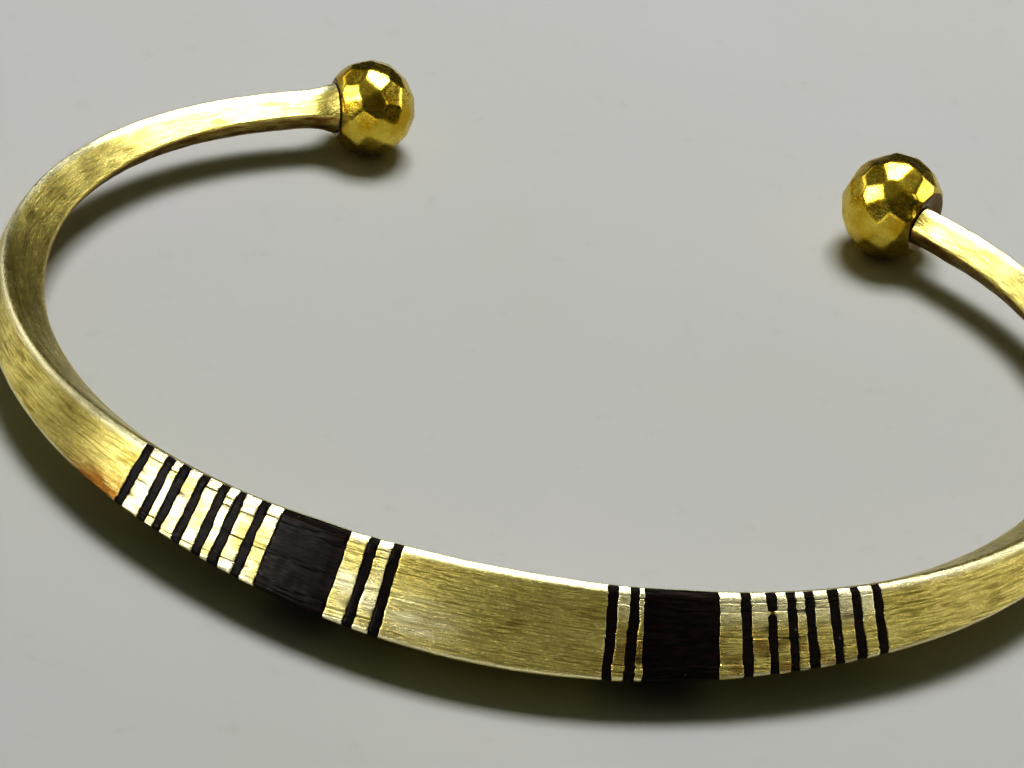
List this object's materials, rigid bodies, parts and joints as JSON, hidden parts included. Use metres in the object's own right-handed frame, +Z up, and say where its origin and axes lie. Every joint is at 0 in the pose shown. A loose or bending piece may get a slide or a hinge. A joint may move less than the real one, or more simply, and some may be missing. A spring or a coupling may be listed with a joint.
{
  "type": "cuff bangle",
  "caption": "Open C-shaped cuff bangle: a tapering keeled brass bar with ebony inlay across the front and a faceted ball on each open end, worn on the wrist.",
  "frame": {"origin": "centre of the bangle's bounding box, in the plane it lies on", "axes": "+Z up from the surface it lies on, through the wrist opening; inlaid front towards -Y; opening between the ball ends towards +Y; +X to the right when the front is faced"},
  "size_m": [0.07, 0.0574, 0.007],
  "materials": {
    "bar_brass": "hand filed and brushed along its length",
    "head_brass": "filed facets, lightly polished",
    "slip_ebony": "oiled ebony, filed flush",
    "block_ebony": "oiled ebony, filed flush"
  },
  "bodies": {
    "root": {"cuff_body": "bar_brass", "left_head": "head_brass", "right_head": "head_brass", "left_block": "block_ebony", "right_block": "block_ebony", "left_inner_slip_1": "slip_ebony", "left_inner_slip_2": "slip_ebony", "left_outer_slip_1": "slip_ebony", "left_outer_slip_2": "slip_ebony", "left_outer_slip_3": "slip_ebony", "left_outer_slip_4": "slip_ebony", "left_outer_slip_5": "slip_ebony", "left_outer_slip_6": "slip_ebony", "left_outer_slip_7": "slip_ebony", "right_inner_slip_1": "slip_ebony", "right_inner_slip_2": "slip_ebony", "right_outer_slip_1": "slip_ebony", "right_outer_slip_2": "slip_ebony", "right_outer_slip_3": "slip_ebony", "right_outer_slip_4": "slip_ebony", "right_outer_slip_5": "slip_ebony", "right_outer_slip_6": "slip_ebony", "right_outer_slip_7": "slip_ebony"}
  },
  "joints": []
}
